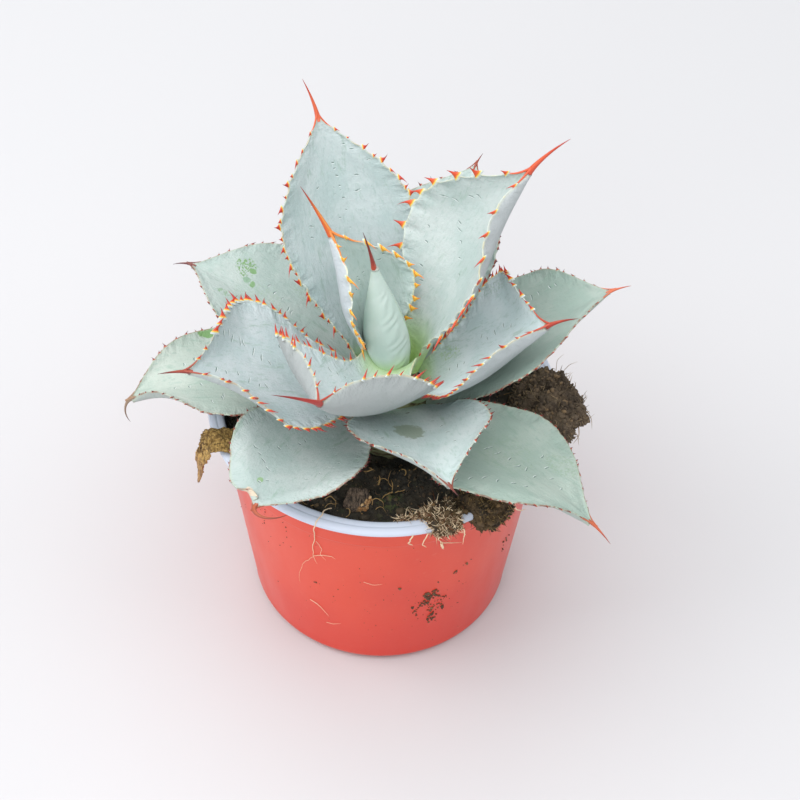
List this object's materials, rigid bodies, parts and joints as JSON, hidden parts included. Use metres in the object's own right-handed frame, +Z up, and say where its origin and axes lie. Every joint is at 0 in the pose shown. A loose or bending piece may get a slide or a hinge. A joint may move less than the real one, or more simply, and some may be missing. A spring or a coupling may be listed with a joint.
{
  "type": "potted agave",
  "caption": "Small agave rosette with toothed, spine-tipped blue-green leaves in a thin tapered plastic nursery pot filled with peat.",
  "frame": {"origin": "centre of the flat disc under the pot, on the surface that it stands on, on the pot's axis", "axes": "+Z up along the pot's axis; +X to the right and -Y towards the viewer of the picture"},
  "size_m": [0.1436, 0.1454, 0.1645],
  "materials": {
    "pot_plastic": "satin terracotta outside, pale blue-grey rim and inside",
    "soil": "rough dark peat",
    "stem": "matt",
    "leaf": "matt waxy bloom, pale blue-green",
    "spine": "horny, red-brown",
    "peat": "rough brown peat",
    "fibre": "rough tan fibres and moss",
    "dry_leaf": "crumpled, dry, golden brown",
    "bark": "rough bark"
  },
  "bodies": {
    "root": {"pot": "pot_plastic", "soil": "soil", "stem": "stem", "leaf_01": "leaf", "leaf_01_spine": "spine", "leaf_02": "leaf", "leaf_02_spine": "spine", "leaf_03": "leaf", "leaf_03_spine": "spine", "leaf_04": "leaf", "leaf_04_spine": "spine", "leaf_05": "leaf", "leaf_05_spine": "spine", "leaf_06": "leaf", "leaf_06_spine": "spine", "leaf_07": "leaf", "leaf_07_spine": "spine", "leaf_08": "leaf", "leaf_08_spine": "spine", "leaf_09": "leaf", "leaf_09_spine": "spine", "leaf_10": "leaf", "leaf_10_spine": "spine", "leaf_11": "leaf", "leaf_11_spine": "spine", "leaf_12": "leaf", "leaf_12_spine": "spine", "leaf_13": "leaf", "leaf_13_spine": "spine", "leaf_14": "leaf", "leaf_14_spine": "spine", "leaf_15": "leaf", "leaf_15_spine": "spine", "bud": "leaf", "bud_spine": "spine", "peat_clump": "peat", "fibre_clump": "fibre", "dead_leaf": "dry_leaf", "bark_chip": "bark"}
  },
  "joints": []
}
